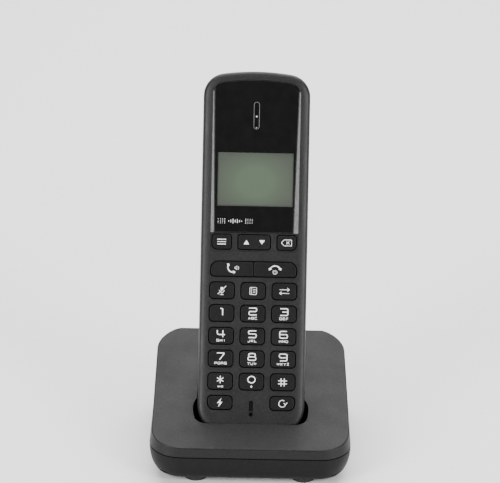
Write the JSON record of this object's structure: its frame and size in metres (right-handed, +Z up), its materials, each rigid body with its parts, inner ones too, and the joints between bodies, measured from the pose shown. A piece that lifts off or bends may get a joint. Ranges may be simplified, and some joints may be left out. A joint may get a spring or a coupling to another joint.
{
  "type": "cordless phone with base",
  "caption": "Slim cordless handset with display, rocker and rows of keys, standing in a sloping rounded charging base.",
  "frame": {"origin": "on the desk, under the centre of the whole outline of base and docked handset", "axes": "+X to the handset's right as its user sees it, -Y towards the user, +Z up"},
  "size_m": [0.088, 0.0987, 0.1625],
  "materials": {
    "case": "fine-grained matt moulding",
    "tub": "fine-grained matt moulding",
    "key": "satin keycap with pale printed legend",
    "feet": "matt black rubber",
    "screw": "zinc-plated steel",
    "board": "solder-masked laminate",
    "shield": "tin-plated steel",
    "wire": "bright brass",
    "socket": "glossy black moulding",
    "contact": "nickel-plated spring steel",
    "lens": "glossy black lens",
    "trim": "satin grey bevel",
    "lcd": "grey-green reflective display",
    "light": "white diffuser",
    "mat": "translucent grey silicone",
    "dome": "metal domes on film",
    "speaker": "black cone and frame",
    "mic": "aluminium can",
    "cell": "wrapped rechargeable cell"
  },
  "bodies": {
    "base": {"base_bottom_cover": "tub", "base_top_cover": "case", "base_feet": "feet", "base_screws": "screw", "base_pcb": "board", "base_rf_shield": "shield", "base_antenna": "wire", "line_socket": "socket", "power_socket": "socket", "page_board": "board", "page_switch": "shield"},
    "handset": {"handset_front_cover": "case", "handset_rear_cover": "case", "display_lens": "lens", "lens_trim": "trim", "lcd_panel": "lcd", "lcd_backlight": "light", "handset_pcb": "board", "handset_rf_shield": "shield", "handset_antenna": "wire", "keypad_mat": "mat", "dome_sheet": "dome", "earpiece_speaker": "speaker", "loudspeaker": "speaker", "microphone": "mic", "battery_cell_left": "cell", "battery_cell_right": "cell", "battery_contacts": "contact", "charge_pads": "contact", "handset_screws": "screw"},
    "page_button": {"page_button": "key"},
    "charge_contact_left": {"charge_contact_left": "contact"},
    "charge_contact_right": {"charge_contact_right": "contact"},
    "battery_door": {"battery_door": "case"},
    "menu_key": {"menu_key": "key"},
    "nav_key": {"nav_key": "key"},
    "delete_key": {"delete_key": "key"},
    "talk_key": {"talk_key": "key"},
    "end_key": {"end_key": "key"},
    "mute_key": {"mute_key": "key"},
    "memory_key": {"memory_key": "key"},
    "intercom_key": {"intercom_key": "key"},
    "key_1": {"key_1": "key"},
    "key_2": {"key_2": "key"},
    "key_3": {"key_3": "key"},
    "key_4": {"key_4": "key"},
    "key_5": {"key_5": "key"},
    "key_6": {"key_6": "key"},
    "key_7": {"key_7": "key"},
    "key_8": {"key_8": "key"},
    "key_9": {"key_9": "key"},
    "key_star": {"key_star": "key"},
    "key_0": {"key_0": "key"},
    "key_hash": {"key_hash": "key"},
    "flash_key": {"flash_key": "key"},
    "redial_key": {"redial_key": "key"}
  },
  "joints": [
    {"name": "handset_lift", "type": "slide", "parent": "base", "child": "handset", "axis": [0, 0.4067, 0.9135], "range_m": [0, 0.06]},
    {"name": "battery_door_off", "type": "slide", "parent": "handset", "child": "battery_door", "axis": [0, 0.9135, -0.4067], "range_m": [0, 0.015]},
    {"name": "page_button_press", "type": "slide", "parent": "base", "child": "page_button", "axis": [0, 0.2164, -0.9763], "range_m": [0, 0.0008], "stiffness_N_per_m": 400},
    {"name": "charge_contact_left_rise", "type": "slide", "parent": "base", "child": "charge_contact_left", "axis": [0, 0.4067, 0.9135], "range_m": [0, 0.0015]},
    {"name": "charge_contact_right_rise", "type": "slide", "parent": "base", "child": "charge_contact_right", "axis": [0, 0.4067, 0.9135], "range_m": [0, 0.0015]},
    {"name": "menu_key_press", "type": "slide", "parent": "handset", "child": "menu_key", "axis": [0, 0.9135, -0.4067], "range_m": [0, 0.0006], "stiffness_N_per_m": 300},
    {"name": "nav_key_rock", "type": "hinge", "parent": "handset", "child": "nav_key", "pos_m": [0, 0.00264, 0.09343], "axis": [0, 0.4067, 0.9135], "range_deg": [-4, 4], "stiffness_Nm_per_rad": 0.012},
    {"name": "delete_key_press", "type": "slide", "parent": "handset", "child": "delete_key", "axis": [0, 0.9135, -0.4067], "range_m": [0, 0.0006], "stiffness_N_per_m": 300},
    {"name": "talk_key_press", "type": "slide", "parent": "handset", "child": "talk_key", "axis": [0, 0.9135, -0.4067], "range_m": [0, 0.0006], "stiffness_N_per_m": 300},
    {"name": "end_key_press", "type": "slide", "parent": "handset", "child": "end_key", "axis": [0, 0.9135, -0.4067], "range_m": [0, 0.0006], "stiffness_N_per_m": 300},
    {"name": "mute_key_press", "type": "slide", "parent": "handset", "child": "mute_key", "axis": [0, 0.9135, -0.4067], "range_m": [0, 0.0006], "stiffness_N_per_m": 300},
    {"name": "memory_key_press", "type": "slide", "parent": "handset", "child": "memory_key", "axis": [0, 0.9135, -0.4067], "range_m": [0, 0.0006], "stiffness_N_per_m": 300},
    {"name": "intercom_key_press", "type": "slide", "parent": "handset", "child": "intercom_key", "axis": [0, 0.9135, -0.4067], "range_m": [0, 0.0006], "stiffness_N_per_m": 300},
    {"name": "key_1_press", "type": "slide", "parent": "handset", "child": "key_1", "axis": [0, 0.9135, -0.4067], "range_m": [0, 0.0006], "stiffness_N_per_m": 300},
    {"name": "key_2_press", "type": "slide", "parent": "handset", "child": "key_2", "axis": [0, 0.9135, -0.4067], "range_m": [0, 0.0006], "stiffness_N_per_m": 300},
    {"name": "key_3_press", "type": "slide", "parent": "handset", "child": "key_3", "axis": [0, 0.9135, -0.4067], "range_m": [0, 0.0006], "stiffness_N_per_m": 300},
    {"name": "key_4_press", "type": "slide", "parent": "handset", "child": "key_4", "axis": [0, 0.9135, -0.4067], "range_m": [0, 0.0006], "stiffness_N_per_m": 300},
    {"name": "key_5_press", "type": "slide", "parent": "handset", "child": "key_5", "axis": [0, 0.9135, -0.4067], "range_m": [0, 0.0006], "stiffness_N_per_m": 300},
    {"name": "key_6_press", "type": "slide", "parent": "handset", "child": "key_6", "axis": [0, 0.9135, -0.4067], "range_m": [0, 0.0006], "stiffness_N_per_m": 300},
    {"name": "key_7_press", "type": "slide", "parent": "handset", "child": "key_7", "axis": [0, 0.9135, -0.4067], "range_m": [0, 0.0006], "stiffness_N_per_m": 300},
    {"name": "key_8_press", "type": "slide", "parent": "handset", "child": "key_8", "axis": [0, 0.9135, -0.4067], "range_m": [0, 0.0006], "stiffness_N_per_m": 300},
    {"name": "key_9_press", "type": "slide", "parent": "handset", "child": "key_9", "axis": [0, 0.9135, -0.4067], "range_m": [0, 0.0006], "stiffness_N_per_m": 300},
    {"name": "key_star_press", "type": "slide", "parent": "handset", "child": "key_star", "axis": [0, 0.9135, -0.4067], "range_m": [0, 0.0006], "stiffness_N_per_m": 300},
    {"name": "key_0_press", "type": "slide", "parent": "handset", "child": "key_0", "axis": [0, 0.9135, -0.4067], "range_m": [0, 0.0006], "stiffness_N_per_m": 300},
    {"name": "key_hash_press", "type": "slide", "parent": "handset", "child": "key_hash", "axis": [0, 0.9135, -0.4067], "range_m": [0, 0.0006], "stiffness_N_per_m": 300},
    {"name": "flash_key_press", "type": "slide", "parent": "handset", "child": "flash_key", "axis": [0, 0.9135, -0.4067], "range_m": [0, 0.0006], "stiffness_N_per_m": 300},
    {"name": "redial_key_press", "type": "slide", "parent": "handset", "child": "redial_key", "axis": [0, 0.9135, -0.4067], "range_m": [0, 0.0006], "stiffness_N_per_m": 300}
  ],
  "couplings": [
    {"joint": "charge_contact_left_rise", "follows": "handset_lift", "ratio": 0.025},
    {"joint": "charge_contact_right_rise", "follows": "handset_lift", "ratio": 0.025}
  ]
}
